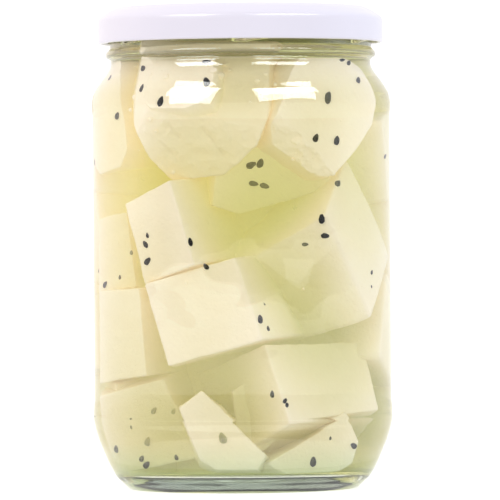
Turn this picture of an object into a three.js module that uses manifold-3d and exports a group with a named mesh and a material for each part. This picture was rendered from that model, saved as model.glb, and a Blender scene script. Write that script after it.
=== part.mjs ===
// A round glass jar with a twist-off lid, packed with white cheese blocks and black seeds.
// Millimetres, +Z up, front towards -Y, with the middle of the base at the origin.
import * as THREE from "three";
import { mergeVertices } from "three/addons/utils/BufferGeometryUtils.js";
import Module from "manifold-3d";

const wasm = await Module();
wasm.setup();

// Jar
const BODY_RADIUS = 44.6;
const BAND_RADIUS = 44.88;
const NECK_RADIUS = 39;
const RIM_RADIUS = 39.35;
const RIM_HEIGHT = 142;
const BEAD_HEIGHT = 130.1;
const BEAD_RADIUS = 1.5;
const INNER_RADIUS = 42.3;
const BORE_RADIUS = 36.6;
const FLOOR = 5.2;
const PUSH_UP = 2.8;
const FOOT_INNER = 32.6;
const FOOT_OUTER = 34;

// Thread ridges on the jar's finish and the lugs that hook under them
const RIDGES = 6;
const RIDGE_ARC = 54;
const RIDGE_LOW = 134;
const RIDGE_HIGH = 139.4;
const RIDGE_RADIUS = 1.4;
const RIDGE_SUNK = 0.4;
const FIRST_RIDGE = -62;
const LUG_SIZE = [6, 2.1, 1.3];
const LUG_REACH = 40.1;

// Lid
const LID_TOP = 144.2;
const LID_LOW = 133.4;
const LID_RADIUS = 42.75;
const SHEET = 0.55;
const CURL_RADIUS = 0.72;

// Filling
const GLASS_GAP = 0.9;
const SEED_GAP = 0.2;
const BLOCK = 27;
const CORE_RADIUS = 20;
const CORE_LOW = 6.2;
const CORE_HIGH = 131;
const CHEESE_TOP = 134;
const SEED = [1.7, 2.6, 1.3];
const HIDDEN_SEEDS = 36;

const TURNS = 48;
const RAD = Math.PI / 180;

// The same even draw every time
let drawn = 11;
function draw(low, high) {
  drawn = (drawn * 16807) % 2147483647;
  return low + ((high - low) * drawn) / 2147483647;
}

// A closed solid, with shared corners and without the empty faces at a pole
function solid(geometry) {
  const bare = geometry.clone();
  bare.deleteAttribute("normal");
  bare.deleteAttribute("uv");
  const merged = mergeVertices(bare, 1e-4);
  const corners = merged.index.array;
  const kept = [];
  for (let i = 0; i < corners.length; i += 3) {
    const [a, b, c] = corners.slice(i, i + 3);
    if (a !== b && b !== c && c !== a) {
      kept.push(a, b, c);
    }
  }
  const vertProperties = merged.attributes.position.array;
  const triVerts = new Uint32Array(kept);
  return new wasm.Manifold(new wasm.Mesh({ numProp: 3, vertProperties, triVerts }));
}

function named(name, body, look) {
  const { numProp, numVert, vertProperties, triVerts } = body.getMesh();
  const position = new Float32Array(numVert * 3);
  for (let i = 0; i < numVert; i++) {
    position.set(vertProperties.subarray(i * numProp, i * numProp + 3), i * 3);
  }
  const shared = new THREE.BufferGeometry();
  shared.setAttribute("position", new THREE.BufferAttribute(position, 3));
  shared.setIndex(new THREE.BufferAttribute(triVerts, 1));
  const geometry = shared.toNonIndexed();
  geometry.computeVertexNormals();
  const mesh = new THREE.Mesh(geometry, new THREE.MeshStandardMaterial(look));
  mesh.name = name;
  return mesh;
}

// Profiles hold points of radius and height
function smooth(points, steps) {
  const through = points.map(([r, z]) => new THREE.Vector2(r, z));
  const curve = new THREE.SplineCurve(through);
  return curve.getPoints(steps).map((p) => [p.x, p.y]);
}

function arc(r, z, radius, from, to, steps) {
  const points = [];
  for (let i = 0; i <= steps; i++) {
    const angle = (from + ((to - from) * i) / steps) * RAD;
    points.push([r + radius * Math.cos(angle), z + radius * Math.sin(angle)]);
  }
  return points;
}

function turned(profile, turns = TURNS) {
  const points = profile.map(([r, z]) => new THREE.Vector2(r, z));
  const geometry = new THREE.LatheGeometry(points, turns);
  geometry.rotateX(Math.PI / 2);
  return solid(geometry);
}

// Glass: foot, rounded heel, label panel between two contact bands, shoulder, bead and rim
const heel = [
  [FOOT_OUTER, 0],
  [38, 3.6],
  [40.1, 7.4],
  [43.2, 14.5],
  [BAND_RADIUS, 21.5],
];
const shoulder = [
  [BAND_RADIUS, 114.6],
  [44.2, 118.6],
  [41.8, 122.4],
  [NECK_RADIUS + 0.2, 126.2],
  [NECK_RADIUS, 128.4],
];
const innerShoulder = [
  [BORE_RADIUS, 128],
  [38.4, 123],
  [41.3, 118],
  [INNER_RADIUS, 112],
];
const innerHeel = [
  [INNER_RADIUS, 21],
  [41.7, 14.5],
  [40.3, 10],
  [38.2, 6.8],
  [35.5, FLOOR],
];
const outside = [
  [0, PUSH_UP],
  [FOOT_INNER - 3, PUSH_UP],
  [FOOT_INNER, 0],
  ...smooth(heel, 8),
  [BAND_RADIUS, 24.5],
  [BODY_RADIUS, 26.5],
  [BODY_RADIUS, 112],
  ...smooth(shoulder, 8),
  ...arc(NECK_RADIUS, BEAD_HEIGHT, BEAD_RADIUS, -45, 45, 2),
  [RIM_RADIUS, BEAD_HEIGHT + 1.7],
  [RIM_RADIUS, RIM_HEIGHT - 0.9],
  [RIM_RADIUS - 0.8, RIM_HEIGHT],
  [BORE_RADIUS + 0.7, RIM_HEIGHT],
];
const inside = [
  [BORE_RADIUS, RIM_HEIGHT - 0.8],
  ...smooth(innerShoulder, 6),
  ...smooth(innerHeel, 5),
];

// A thread ridge: a bar that slopes down round part of the finish, fading in at its ends
function ridge(start) {
  const steps = 8;
  const path = [];
  for (let i = 0; i <= steps; i++) {
    const angle = (start + (RIDGE_ARC * i) / steps) * RAD;
    const fade = i % steps === 0 ? 0.75 : 0;
    const r = RIM_RADIUS + RIDGE_SUNK - fade;
    const z = RIDGE_LOW + ((RIDGE_HIGH - RIDGE_LOW) * i) / steps;
    path.push(new THREE.Vector3(r * Math.sin(angle), -r * Math.cos(angle), z));
  }
  const section = new THREE.Shape().absarc(0, 0, RIDGE_RADIUS, 0, 2 * Math.PI);
  const geometry = new THREE.ExtrudeGeometry(section, {
    steps,
    curveSegments: 4,
    bevelEnabled: false,
    extrudePath: new THREE.CatmullRomCurve3(path),
  });
  return solid(geometry);
}

function glassJar() {
  const bore = turned([
    [0, FLOOR + 1],
    [BORE_RADIUS + 1, FLOOR + 1],
    [BORE_RADIUS + 1, RIM_HEIGHT + 1],
    [0, RIM_HEIGHT + 1],
  ]);
  let jar = turned([...outside, ...inside, [0, FLOOR]]);
  for (let k = 0; k < RIDGES; k++) {
    const start = FIRST_RIDGE + (360 / RIDGES) * k;
    jar = jar.add(ridge(start).subtract(bore));
  }
  return jar;
}

// Lid: one pressed sheet with a low middle, a raised ring, a slope, a skirt and a curled edge
function lugAt(angle) {
  const [long, thick, tall] = LUG_SIZE;
  const geometry = new THREE.BoxGeometry(long, thick, tall);
  geometry.translate(0, -LUG_REACH - thick / 2, LID_LOW + 0.95);
  geometry.rotateZ(angle * RAD);
  return solid(geometry);
}

function twistOffLid() {
  const curl = LID_RADIUS - CURL_RADIUS;
  const top = [
    [0, LID_TOP - 0.9],
    [9, LID_TOP - 0.85],
    [13, LID_TOP - 0.5],
    [32.5, LID_TOP - 0.5],
    [34.3, LID_TOP],
    [37, LID_TOP],
    [40.4, LID_TOP - 1.75],
    [42.1, LID_TOP - 3],
    [LID_RADIUS, LID_TOP - 4.1],
    ...arc(curl, LID_LOW + CURL_RADIUS, CURL_RADIUS, 0, -210, 5),
  ];
  const underside = [
    [LID_RADIUS - SHEET, LID_LOW + 2],
    [LID_RADIUS - SHEET, LID_TOP - 4.3],
    [41.6, LID_TOP - 3.4],
    [40, LID_TOP - 2.2],
    [36.8, LID_TOP - SHEET],
    [34.5, LID_TOP - SHEET],
    [32.7, LID_TOP - 0.5 - SHEET],
    [12.8, LID_TOP - 0.5 - SHEET],
    [8.8, LID_TOP - 0.85 - SHEET],
    [0, LID_TOP - 0.9 - SHEET],
  ];
  let lid = turned([...top, ...underside].reverse());
  for (let k = 0; k < RIDGES; k++) {
    const clear = FIRST_RIDGE + RIDGE_ARC - 10;
    lid = lid.add(lugAt(clear + (360 / RIDGES) * k));
  }
  return lid;
}

// Cheese blocks that show from the front. The outer face has its middle at place and faces
// that way round from the front, tilted upwards. Its outline runs clockwise from the top
// left. A broken corner is a cut that faces round, tilts up and lies that far from place.
const frontBlocks = [
  {
    place: [-9, -32, 101],
    facing: -12,
    tilt: -18,
    outline: [
      [-20.5, 26.5], [15.5, 25], [17, 8.5], [14, 1.5], [10, -2.5], [3.5, -8],
      [-10.5, -9.5], [-17, -2.5], [-22, 8],
    ],
    cut: [-3, 26, 6.6],
  },
  {
    place: [-17.5, -33.3, 120.4],
    facing: -27,
    tilt: 28,
    deep: 16,
    outline: [
      [-11.3, 8], [8.9, 8.4], [10.8, 0.2], [9.8, -5.2], [3.7, -8], [-7.7, -7.7],
      [-11.1, -4.7], [-11.7, 3.4],
    ],
  },
  {
    place: [24.5, -27, 110.5],
    facing: 36,
    tilt: 8,
    deep: 13,
    outline: [
      [-14, 8], [-8, 17.8], [8, 18.3], [15, 14], [17.5, 5], [15.5, -2],
      [8, -10], [0, -17.5], [-4, -17.5], [-9.5, -13.5], [-17, -7.5], [-18.5, -1.5],
    ],
    cut: [8, -20, 7.5],
  },
  {
    place: [-36.2, -12.5, 110.3],
    facing: -56,
    tilt: 0,
    deep: 20,
    outline: [
      [-9.5, 9], [-5, 17], [1, 18], [6.5, 5.5], [8.5, -3], [9, -9],
      [6, -14], [-4.5, -16], [-9, -13],
    ],
  },
  {
    place: [-26, -29.3, 77],
    facing: -42,
    tilt: -4,
    outline: [[-8.8, 8.4], [8.2, 15.2], [15.9, -9.8], [-2.3, -15.3]],
  },
  {
    place: [-34.5, -13, 71],
    facing: -30,
    tilt: 0,
    deep: 24,
    outline: [[-6.5, 10], [5, 12], [8, -10.5], [-7, -12]],
  },
  {
    place: [-11, -36.4, 53.4],
    facing: -16,
    tilt: 1,
    outline: [[-17.5, 8.3], [14.5, 17.8], [22, -7], [-10.4, -16]],
    cut: [55, 18, 13.1],
  },
  {
    place: [32, -19, 74.5],
    facing: 63,
    tilt: 11,
    deep: 30,
    outline: [[-27, -6], [-0.5, 24.5], [16.5, -5.5], [1.5, -23.5], [-14, -27.5]],
    cut: [6, -19.5, 9.4],
  },
  {
    place: [-33.5, -16.5, 46.5],
    facing: -52,
    tilt: -4,
    outline: [[-9.5, 13], [9.5, 14], [10.5, -12], [-10.5, -14.5]],
  },
  {
    place: [22, -25, 33],
    facing: 44,
    tilt: 19,
    outline: [[-18.5, 11.5], [15.5, 11.5], [18.5, -10], [-16, -13]],
  },
  {
    place: [-27, -16, 20],
    facing: -36,
    tilt: -14,
    outline: [[-15, 8], [9.5, 14], [17, -8], [-11, -14]],
  },
  {
    place: [-6.5, -36.5, 15.5],
    facing: -4,
    tilt: 2,
    outline: [[-11.5, 9.5], [-5, 15], [13, -3.5], [10.5, -8], [-1.5, -8], [-6, -5]],
  },
  {
    place: [23, -27, 11.5],
    facing: 28,
    tilt: -2,
    deep: 24,
    outline: [[-18.5, -2], [5.5, 12], [11, 4], [9.5, -3], [5, -5], [-12.5, -5.5]],
  },
  {
    place: [6.8, -25.6, 92.4],
    facing: 15,
    tilt: -11,
    deep: 17,
    outline: [
      [-14, 2], [-5, 9.5], [4.5, 9], [14, 5], [18.7, -2], [9, -5.5],
      [-7, -10.5], [-14.5, -8],
    ],
  },
  {
    place: [5, -28, 25],
    facing: 4,
    tilt: 0,
    deep: 22,
    outline: [[-8, 5], [0, 10.5], [7.5, 4.5], [7.5, -4.5], [0, -11], [-7, -4.5]],
  },
];

// The other blocks stand in rows round the jar, each pushed out against the glass
const rows = [
  { up: 20, angles: [132, 176, 221, 266], wide: 26, tall: 27, lean: 0 },
  { up: 47, angles: [96, 147, 198, 246], wide: BLOCK, tall: BLOCK, lean: 0 },
  { up: 75, angles: [114, 165, 214, 259], wide: BLOCK, tall: BLOCK, lean: 0 },
  { up: 101.5, angles: [103, 153, 205, 254], wide: 28, tall: 26, lean: -3 },
  { up: 124, angles: [132, 196, 262], wide: 24, tall: 17, lean: 25 },
];

// Outward direction of a face: round from the front to the right, then tilted up
function outward(facing, tilt) {
  const flat = Math.cos(tilt * RAD);
  const side = Math.sin(facing * RAD);
  const front = -Math.cos(facing * RAD);
  return new THREE.Vector3(side * flat, front * flat, Math.sin(tilt * RAD));
}

// The turn that brings a shape drawn on XY and facing +Z to that direction
function turnTo(facing, tilt) {
  const turn = new THREE.Matrix4().makeRotationZ(facing * RAD);
  return turn.multiply(new THREE.Matrix4().makeRotationX((90 - tilt) * RAD));
}

// Inner radius of the glass at a height
function glassAt(height) {
  const z = Math.max(height, FLOOR);
  const below = inside.findIndex((point) => point[1] <= z);
  const [r0, z0] = inside[Math.max(below - 1, 0)];
  const [r1, z1] = inside[below];
  return z0 === z1 ? r1 : r1 + ((r0 - r1) * (z - z1)) / (z0 - z1);
}

function pushedOut({ up, wide, tall, lean }, angle) {
  const tilt = lean + draw(-9, 9);
  const roll = draw(-26, 26) * RAD;
  const [w, h] = [wide * draw(0.48, 0.52), tall * draw(0.48, 0.52)];
  const square = [[-w, h], [w, h], [w, -h], [-w, -h]];
  const outline = square.map(([x, y]) => [
    x * Math.cos(roll) - y * Math.sin(roll),
    x * Math.sin(roll) + y * Math.cos(roll),
  ]);
  const turn = turnTo(angle, tilt);
  const from = outward(angle, 0);
  const corners = outline.map(([x, y]) => new THREE.Vector3(x, y, 0).applyMatrix4(turn));
  let reach = INNER_RADIUS;
  const sticksOut = (corner) => {
    const at = corner.clone().addScaledVector(from, reach);
    return Math.hypot(at.x, at.y) > glassAt(up + at.z) - GLASS_GAP;
  };
  while (corners.some(sticksOut)) {
    reach -= 0.25;
  }
  const place = [from.x * reach, from.y * reach, up];
  return { place, facing: angle, tilt, outline, deep: Math.min(BLOCK, reach - 10) };
}

const blocks = [...frontBlocks];
for (const row of rows) {
  for (const angle of row.angles) {
    blocks.push(pushedOut(row, angle));
  }
}

function cheese({ place, facing, tilt, deep = BLOCK, outline, cut }) {
  const shape = new THREE.Shape(outline.map(([x, y]) => new THREE.Vector2(x, y)));
  const geometry = new THREE.ExtrudeGeometry(shape, { depth: deep, bevelEnabled: false });
  geometry.translate(0, 0, -deep);
  geometry.applyMatrix4(turnTo(facing, tilt));
  let body = solid(geometry);
  if (cut) {
    const away = outward(cut[0], cut[1]).negate();
    body = body.trimByPlane(away.toArray(), -cut[2]);
  }
  return body.translate(place);
}

// The planes that bound a block, as outward directions and distances from the origin
function bounds({ place, facing, tilt, deep = BLOCK, outline, cut }) {
  const turn = turnTo(facing, tilt);
  const middle = new THREE.Vector3(...place);
  const planes = [
    { n: outward(facing, tilt), away: 0 },
    { n: outward(facing, tilt).negate(), away: deep },
  ];
  outline.forEach(([x, y], i) => {
    const [nextX, nextY] = outline[(i + 1) % outline.length];
    const n = new THREE.Vector3(y - nextY, nextX - x, 0).normalize();
    planes.push({ away: n.x * x + n.y * y, n: n.applyMatrix4(turn) });
  });
  if (cut) {
    planes.push({ n: outward(cut[0], cut[1]), away: cut[2] });
  }
  return planes.map(({ n, away }) => ({ n, d: away + n.dot(middle) }));
}
const bounded = blocks.map(bounds);

// The first face met on the way from the glass to the middle of the jar. A block that
// presses on the glass is met right there.
function surfaceAt(angle, up) {
  const inward = outward(angle, 0).negate();
  const away = inward.clone().negate();
  const wall = glassAt(up) - GLASS_GAP / 2;
  const start = away.clone().multiplyScalar(wall).setZ(up);
  let hit = { along: wall - CORE_RADIUS, n: away };
  for (const planes of bounded) {
    let first = { along: 0, n: away };
    let last = Infinity;
    for (const { n, d } of planes) {
      const speed = n.dot(inward);
      const along = (d - n.dot(start)) / speed;
      if (speed < 0 && along > first.along) {
        first = { along, n };
      } else if (speed > 0) {
        last = Math.min(last, along);
      }
    }
    if (first.along < last && first.along < hit.along) {
      hit = first;
    }
  }
  return { at: start.addScaledVector(inward, hit.along), n: hit.n };
}

// Seeds that show from the front: angle round the jar, height, spin and size
const frontSeeds = [
  [-49, 124.7, -35, 1.1],
  [-74, 121.8, -35, 0.9],
  [-44, 118.7, 0, 0.9],
  [-64, 112, 15, 1.2],
  [-16, 126.5, 75, 1.2],
  [-14.5, 120, -30, 1.3],
  [-34, 115.2, 15, 1.2],
  [58, 126.3, 45, 1.1],
  [54, 127.4, 80, 0.9],
  [60, 120, 30, 1],
  [42, 116, 25, 1.2],
  [34, 104.3, 30, 1.1],
  [44.5, 103.6, 20, 1.2],
  [5.5, 96.5, 60, 1.2],
  [10.5, 97, 15, 1.2],
  [7, 91, 100, 1.1],
  [13.5, 90.3, 110, 1.1],
  [48, 91, 60, 1.1],
  [31.5, 84, -45, 0.9],
  [35, 80.5, -15, 1.3],
  [37.5, 75.5, 95, 1.1],
  [30, 73, 90, 0.8],
  [-21.5, 74, 15, 1.1],
  [-42.5, 76, -5, 0.7],
  [-44, 73.4, -40, 1],
  [-61, 71, 0, 0.6],
  [-43, 68.5, 50, 1.2],
  [-15.5, 66.8, -40, 0.9],
  [-73.5, 61.5, 40, 1],
  [-71, 93, -45, 0.7],
  [7.3, 51.3, 25, 1.2],
  [11, 48.5, 10, 0.7],
  [13, 29.2, 0, 0.9],
  [17.6, 27.2, 45, 0.8],
  [18.3, 25.9, 20, 0.7],
  [-49.5, 23.6, 50, 0.9],
  [-38, 23.5, 30, 0.7],
  [-9, 17.2, -20, 1.4],
  [-56, 17.2, 30, 1.1],
  [-74.5, 14.6, 20, 1.1],
  [-62.5, 12, 30, 1],
  [-61, 10, 45, 1.2],
  [-40.5, 12.4, 0, 0.8],
  [34, 9.9, 0, 1.3],
  [54, 14.2, -55, 1.1],
  [42, 17, 0, 0.45],
  [75, 37, 0, 1],
  [66, 64.6, 40, 0.7],
  [64.5, 60.4, 0, 0.4],
  [-63.5, 20.5, 0, 0.5],
  [-66.5, 63.7, 0, 0.6],
  [10, 55.7, 0, 0.4],
];

function seed([angle, up, spin, size]) {
  const [wide, long, thick] = SEED;
  const { at, n } = surfaceAt(angle, up);
  const facing = Math.atan2(n.x, -n.y) / RAD;
  const tilt = Math.asin(n.z) / RAD;
  const geometry = new THREE.IcosahedronGeometry(0.5, 0);
  geometry.scale(wide * size, long * size, thick * size);
  geometry.rotateZ(-spin * RAD);
  geometry.applyMatrix4(turnTo(facing, tilt));
  geometry.translate(at.x, at.y, at.z);
  return solid(geometry);
}

// The space inside the glass, that far from its wall and floor
function room(gap) {
  const wall = inside.map(([r, z]) => [r - gap, Math.min(z, CHEESE_TOP)]).reverse();
  wall[0][1] += gap;
  return turned([[0, FLOOR + gap], ...wall, [0, CHEESE_TOP]], 32);
}

// The heap: blocks round a core, kept clear of the glass, with the seeds half sunk in them
function cheeseBlocks() {
  const core = [
    [0, CORE_LOW],
    [CORE_RADIUS, CORE_LOW],
    [CORE_RADIUS, CORE_HIGH],
    [0, CORE_HIGH],
  ];
  let heap = turned(core, 24);
  for (const block of blocks) {
    heap = heap.add(cheese(block));
  }
  heap = heap.intersect(room(GLASS_GAP / 2));
  const hidden = [];
  for (let k = 0; k < HIDDEN_SEEDS; k++) {
    hidden.push([draw(80, 278), draw(9, 124), draw(-90, 90), draw(0.75, 1.2)]);
  }
  const seedRoom = room(SEED_GAP);
  for (const one of [...frontSeeds, ...hidden]) {
    heap = heap.add(seed(one).intersect(seedRoom));
  }
  const withoutCavities = heap.decompose().filter((body) => body.volume() > 0);
  return wasm.Manifold.union(withoutCavities);
}

const jarOfCheese = new THREE.Group();
jarOfCheese.add(
  named("glass_jar", glassJar(), {
    color: 0xdfe8df,
    roughness: 0.05,
    transparent: true,
    opacity: 0.3,
  }),
  named("lid", twistOffLid(), { color: 0xf4f4f6, roughness: 0.35, metalness: 0.1 }),
  named("cheese_blocks", cheeseBlocks(), { color: 0xf6efcf, roughness: 0.6 }),
);

export default jarOfCheese;
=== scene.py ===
import math

import bpy
import numpy as np
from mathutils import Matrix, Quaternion, Vector
from mathutils.bvhtree import BVHTree


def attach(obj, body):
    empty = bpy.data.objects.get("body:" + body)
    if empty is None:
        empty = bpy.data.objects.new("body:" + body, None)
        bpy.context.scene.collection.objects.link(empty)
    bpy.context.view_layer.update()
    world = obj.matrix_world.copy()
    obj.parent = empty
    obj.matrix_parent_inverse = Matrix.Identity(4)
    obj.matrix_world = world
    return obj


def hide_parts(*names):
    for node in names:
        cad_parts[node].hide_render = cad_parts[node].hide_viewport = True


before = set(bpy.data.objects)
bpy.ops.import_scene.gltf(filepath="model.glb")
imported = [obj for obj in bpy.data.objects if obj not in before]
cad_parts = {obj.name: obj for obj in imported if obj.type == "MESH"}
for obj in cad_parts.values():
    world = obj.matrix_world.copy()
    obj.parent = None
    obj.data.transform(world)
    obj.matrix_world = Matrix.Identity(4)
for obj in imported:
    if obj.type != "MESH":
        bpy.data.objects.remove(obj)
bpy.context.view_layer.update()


# The camera. It stands level with the middle of the jar, a long way off behind a long
# lens, and is turned a little, so that the jar seems to lean to the left.
lens_mm = 384
camera_place = Vector((0.0024, -1.6, 0.07385))
camera_target = Vector((0.0024, 0.0, 0.07145))
camera_roll = math.radians(-0.42)

camera_data = bpy.data.cameras.new("camera")
camera_data.lens = lens_mm
camera_data.sensor_width = 36
camera_data.clip_start = 0.01
camera_data.clip_end = 50
camera = bpy.data.objects.new("camera", camera_data)
bpy.context.scene.collection.objects.link(camera)
looking = (camera_target - camera_place).to_track_quat("-Z", "Y")
camera.location = camera_place
camera.rotation_mode = "QUATERNION"
camera.rotation_quaternion = looking @ Quaternion((0, 0, 1), camera_roll)
bpy.context.scene.camera = camera


# The jar. Clear soda-lime glass, blown in a two-part mould: a foot ring round a pushed-up
# base, a rounded heel, a straight panel between two contact bands, a shoulder, a neck, a
# transfer bead and a finish with six sloping thread ridges.
body_radius = 44.6
neck_radius = 39.0
rim_radius = 39.35
bore_radius = 36.6
inner_radius = 42.3
glass_floor = 5.2
push_up = 2.8
ridge_count = 6
ridge_arc = math.radians(54)
first_ridge = math.radians(-62)
ridge_low = 134.0
ridge_high = 139.4
ridge_radius = 1.4
ridge_centre = 39.75
ridge_fade = 0.1
finish_low = 131.5
floor_steps = 10
glass_turns = 240
metres_per_mm = 0.001


def through(points, steps):
    """A smooth curve through points of radius and height: on each span the cubic whose
    slope at both ends is half the step between the neighbouring points."""
    p = np.array(points, float)
    before = np.vstack([2 * p[:1] - p[1:2], p, 2 * p[-1:] - p[-2:-1]])
    t = np.linspace(0, 1, steps, endpoint=False)[None, :, None]
    a, b, c, d = (before[k : k + len(p) - 1, None] for k in range(4))
    cubic = (
        2 * b
        + (c - a) * t
        + (2 * a - 5 * b + 4 * c - d) * t**2
        + (3 * b - a - 3 * c + d) * t**3
    ) / 2
    return np.vstack([cubic.reshape(-1, 2), p[-1:]])


def arc(middle, radius, start, end, steps):
    """Points at an even turn on a circle of radius and height, from start to end degrees."""
    turn = np.radians(np.linspace(start, end, steps))
    return np.array(middle) + radius * np.stack([np.cos(turn), np.sin(turn)], 1)


def straight(start, end, steps):
    """Evenly spaced points on a straight line of radius and height."""
    return np.linspace(start, end, steps)


def make_piece(name, points, faces, material):
    """Puts points in millimetres and faces of three or four corners into a smooth mesh
    with its place in its vertices, and links it to the scene."""
    mesh = bpy.data.meshes.new(name)
    mesh.vertices.add(len(points))
    mesh.vertices.foreach_set("co", (points * metres_per_mm).astype(np.float32).ravel())
    corners = np.concatenate([f.ravel() for f in faces]).astype(np.int32)
    counts = np.concatenate([np.full(len(f), f.shape[1]) for f in faces])
    starts = np.concatenate([[0], np.cumsum(counts)[:-1]]).astype(np.int32)
    mesh.loops.add(len(corners))
    mesh.loops.foreach_set("vertex_index", corners)
    mesh.polygons.add(len(counts))
    mesh.polygons.foreach_set("loop_start", starts)
    mesh.polygons.foreach_set("use_smooth", np.ones(len(counts), bool))
    mesh.update(calc_edges=True)
    mesh.validate()
    mesh.materials.append(material)
    piece = bpy.data.objects.new(name, mesh)
    bpy.context.scene.collection.objects.link(piece)
    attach(piece, "root")
    return piece


def lathe(profile, turns, relief=None):
    """Turns a profile round the axis: radius r and height z at turn t lie at
    (r sin t, -r cos t, z). relief(r, z, t) gives the radius instead of r. A profile from
    axis to axis gets one point at each end, and any other is closed on itself."""
    r, z = np.array(profile, float).T
    t = np.arange(turns) * 2 * math.pi / turns
    radius = np.repeat(r[:, None], turns, 1)
    if relief:
        radius = relief(radius, z[:, None], t[None, :])
    grid = np.stack(
        [radius * np.sin(t), -radius * np.cos(t), np.repeat(z[:, None], turns, 1)], 2
    )
    points = grid.reshape(-1, 3)
    rows = np.arange(len(r) * turns).reshape(len(r), turns)
    on_axis = r[0] < 1e-6 and r[-1] < 1e-6
    if on_axis:
        rows = rows[1:-1]
    else:
        rows = np.vstack([rows, rows[:1]])
    here, above = rows[:-1], rows[1:]
    quads = np.stack([here, np.roll(here, -1, 1), np.roll(above, -1, 1), above], 2)
    faces = [quads.reshape(-1, 4)]
    if on_axis:
        low, high = rows[0], rows[-1]
        first, last = 0, (len(r) - 1) * turns
        start, end = np.full(turns, first), np.full(turns, last)
        faces.append(np.stack([start, np.roll(low, -1), low], 1))
        faces.append(np.stack([high, np.roll(high, -1), end], 1))
        used = np.concatenate([[first], rows.ravel(), [last]])
        place = np.zeros(len(points), int)
        place[used] = np.arange(len(used))
        points = points[used]
        faces = [place[f] for f in faces]
    return points, faces


def ridged(radius, z, t):
    """The finish with its thread ridges: each is a round bar that rises evenly round part
    of the turn and fades in over a few degrees at both ends, and the surface is the larger
    of the plain radius and the bar's. The bar stands only on the outside of the finish."""
    out = radius.copy()
    outside = (radius > rim_radius - 0.5) & (z > finish_low)
    for k in range(ridge_count):
        start = first_ridge + k * 2 * math.pi / ridge_count
        along = ((t - start + math.pi) % (2 * math.pi) - math.pi) / ridge_arc
        height = ridge_low + (ridge_high - ridge_low) * along
        fade = np.clip(np.minimum(along, 1 - along) / ridge_fade + 0.3, 0, 1)
        bar = np.sqrt(np.clip(ridge_radius**2 - (z - height) ** 2, 0, None))
        stands = outside & (bar > 0) & (fade > 0)
        bar_radius = ridge_centre - 0.9 * (1 - fade) + bar * fade
        out = np.where(stands & (bar_radius > out), bar_radius, out)
    return out


outer_profile = np.vstack(
    [
        straight((0, push_up), (28.5, push_up), 6),
        through([(29.5, push_up), (31, 2.1), (32.3, 0.35), (33.3, 0), (34.3, 0.25)], 3),
        through([(36.2, 2), (38, 3.7), (40.05, 7.2), (41.7, 10.9), (43.2, 14.5)], 4),
        through([(44.4, 18.4), (44.8, 20.6), (44.98, 21.6), (44.88, 22.4)], 3),
        through([(44.88, 24.2), (44.75, 25.4), (44.6, 26.6)], 4),
        straight((body_radius, 30), (body_radius, 109), 24),
        through([(44.6, 111.6), (44.88, 114.2), (44.8, 116.2), (44.3, 118.4)], 4),
        through([(43.4, 120.1), (41.8, 122.4), (40.2, 124.5), (39.2, 126.2)], 4),
        through([(38.95, 127.4), (39.05, 128.4)], 2),
        arc((neck_radius, 130.1), 1.5, -50, 50, 12),
        straight((rim_radius, 131.9), (rim_radius, 141.1), 36),
        arc((rim_radius - 0.9, 141.1), 0.9, 10, 90, 6),
        arc((bore_radius + 0.8, 141.2), 0.8, 90, 180, 6),
    ]
)
inner_profile = np.vstack(
    [
        straight((bore_radius, 139), (bore_radius, 130), 6),
        through([(36.6, 128), (37, 125.6), (38.4, 123), (40, 120.5), (41.3, 118)], 4),
        through([(42.1, 115), (42.3, 112)], 3),
        straight((inner_radius, 108), (inner_radius, 25), 20),
        through([(42.3, 21), (41.7, 14.5), (40.3, 10), (38.2, 6.8), (35.5, 5.3)], 6),
        straight((33, glass_floor), (0, glass_floor), floor_steps),
    ]
)

nodes_of = {}


def new_material(name):
    """A material whose nodes are built from nothing, with its output and shader node."""
    material = bpy.data.materials.new(name)
    material.use_nodes = True
    nodes = material.node_tree.nodes
    nodes.clear()
    output = nodes.new("ShaderNodeOutputMaterial")
    shader = nodes.new("ShaderNodeBsdfPrincipled")
    nodes_of[material] = (output, shader)
    return material


def add(material, kind, **values):
    """A node of that kind, with its sockets or settings given by name."""
    node = material.node_tree.nodes.new(kind)
    for key, value in values.items():
        if key in node.inputs:
            node.inputs[key].default_value = value
        else:
            setattr(node, key, value)
    return node


def join(material, source, target):
    """Links one socket to another."""
    material.node_tree.links.new(source, target)


def ramp(material, value, start, end, low=0.0, high=1.0):
    """A number that goes evenly from low to high as the value goes from start to end."""
    node = add(material, "ShaderNodeMapRange")
    for socket, number in zip(node.inputs[1:5], (start, end, low, high)):
        socket.default_value = number
    join(material, value, node.inputs["Value"])
    return node.outputs[0]


def blend(material, share, first, second, how="MIX"):
    """The first colour blended with the second by a share. Each of the three is a socket
    or stays as given."""
    node = add(material, "ShaderNodeMix", data_type="RGBA", blend_type=how)
    for place, value in ((0, share), (6, first), (7, second)):
        if isinstance(value, bpy.types.NodeSocket):
            join(material, value, node.inputs[place])
        else:
            node.inputs[place].default_value = value
    return node.outputs[2]


def noise(material, scale, detail, roughness=0.5):
    """Even noise over the piece, its lumps about 1 / scale metres wide."""
    place = add(material, "ShaderNodeTexCoord")
    lumpy = add(material, "ShaderNodeTexNoise", Scale=scale, Detail=detail)
    lumpy.inputs["Roughness"].default_value = roughness
    join(material, place.outputs["Object"], lumpy.inputs["Vector"])
    return lumpy.outputs[0]


def roughen(material, height, strength, distance):
    """Shades the surface as if the height stood out of it by that distance."""
    bump = add(material, "ShaderNodeBump", Strength=strength, Distance=distance)
    join(material, height, bump.inputs["Height"])
    join(material, bump.outputs[0], nodes_of[material][1].inputs["Normal"])


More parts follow.
